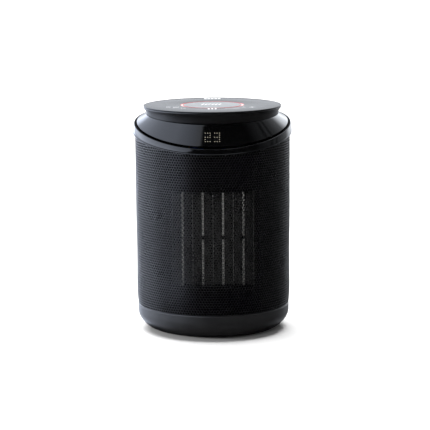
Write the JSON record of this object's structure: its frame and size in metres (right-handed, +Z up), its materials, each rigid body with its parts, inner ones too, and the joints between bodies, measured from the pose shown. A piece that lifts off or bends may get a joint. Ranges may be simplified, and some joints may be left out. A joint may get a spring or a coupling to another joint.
{
  "type": "ceramic space heater",
  "caption": "Small upright cylindrical PTC fan heater with a perforated grille, sloping gloss rim and collar, a dot display and a round touch-control disc on top.",
  "frame": {"origin": "centre of the underside, on the surface that the feet stand on", "axes": "+Z up along the body axis, -Y towards the front, where the warm air leaves, +X to the right as seen from the front"},
  "size_m": [0.1886, 0.1886, 0.268],
  "materials": {
    "black_matte": "fine-textured black ABS",
    "inner_black": "black moulded plastic, inside",
    "black_gloss": "high-gloss piano black",
    "grille_paint": "black powder coat",
    "foot_rubber": "black rubber",
    "screw_steel": "zinc-plated steel",
    "spring_steel": "bright spring steel",
    "light_nylon": "natural nylon",
    "element_aluminium": "bare aluminium",
    "brass_tabs": "brass",
    "motor_paint": "zinc-grey painted can",
    "motor_iron": "laminated iron",
    "fan_plastic": "heat-resistant black nylon",
    "lamp_diffuser": "milky diffuser, warm white when lit",
    "board_green": "solder-masked circuit board",
    "relay_case": "blue relay case",
    "capacitor_case": "yellow film capacitor",
    "touch_glass": "smooth black touch panel, satin gloss",
    "red_diffuser": "translucent ring, red when lit"
  },
  "bodies": {
    "housing": {"base_deck": "inner_black", "base_pan": "black_matte", "base_screws": "screw_steel", "board_pillars": "light_nylon", "board_screws": "screw_steel", "bracket_screws": "screw_steel", "centre_badge": "touch_glass", "collar": "black_gloss", "collar_screws": "screw_steel", "control_disc": "black_matte", "cord_gland": "foot_rubber", "disc_screws": "screw_steel", "display_board": "board_green", "display_bracket": "inner_black", "display_dots": "lamp_diffuser", "display_lamps": "lamp_diffuser", "display_mask": "inner_black", "electrode_tabs": "brass_tabs", "fan_bulkhead": "inner_black", "filter_capacitor": "capacitor_case", "fin_plates": "element_aluminium", "front_baffle": "inner_black", "grille_seam_strip": "grille_paint", "heat_sink": "element_aluminium", "heater_duct": "inner_black", "heater_fins": "element_aluminium", "heater_frame": "inner_black", "light_guide": "lamp_diffuser", "light_ring": "red_diffuser", "mesh_grille": "grille_paint", "motor_bracket": "screw_steel", "motor_bushes": "brass_tabs", "motor_can": "motor_paint", "motor_stator": "motor_iron", "power_board": "board_green", "power_relays": "relay_case", "ptc_strips": "element_aluminium", "rim_ring": "black_gloss", "rubber_feet": "foot_rubber", "supply_transformer": "motor_iron", "thermal_cutout": "screw_steel", "thermal_fuse": "light_nylon", "tip_switch_body": "inner_black", "tip_switch_spring": "spring_steel", "top_frame": "inner_black", "touch_board": "board_green", "touch_panel": "touch_glass", "touch_springs": "spring_steel"},
    "fan": {"motor_rotor": "motor_iron", "motor_shaft": "spring_steel", "impeller": "fan_plastic", "impeller_nut": "brass_tabs"},
    "tip_plunger": {"tip_switch_plunger": "light_nylon"}
  },
  "joints": [
    {"name": "fan_spin", "type": "hinge", "parent": "housing", "child": "fan", "pos_m": [0, 0, 0.1185], "axis": [0, -1, 0], "continuous": true},
    {"name": "tip_plunger_slide", "type": "slide", "parent": "housing", "child": "tip_plunger", "axis": [0, 0, -1], "range_m": [0, 0.006], "stiffness_N_per_m": 40, "springref_m": 0.01, "deforming": ["tip_switch_spring"]}
  ]
}
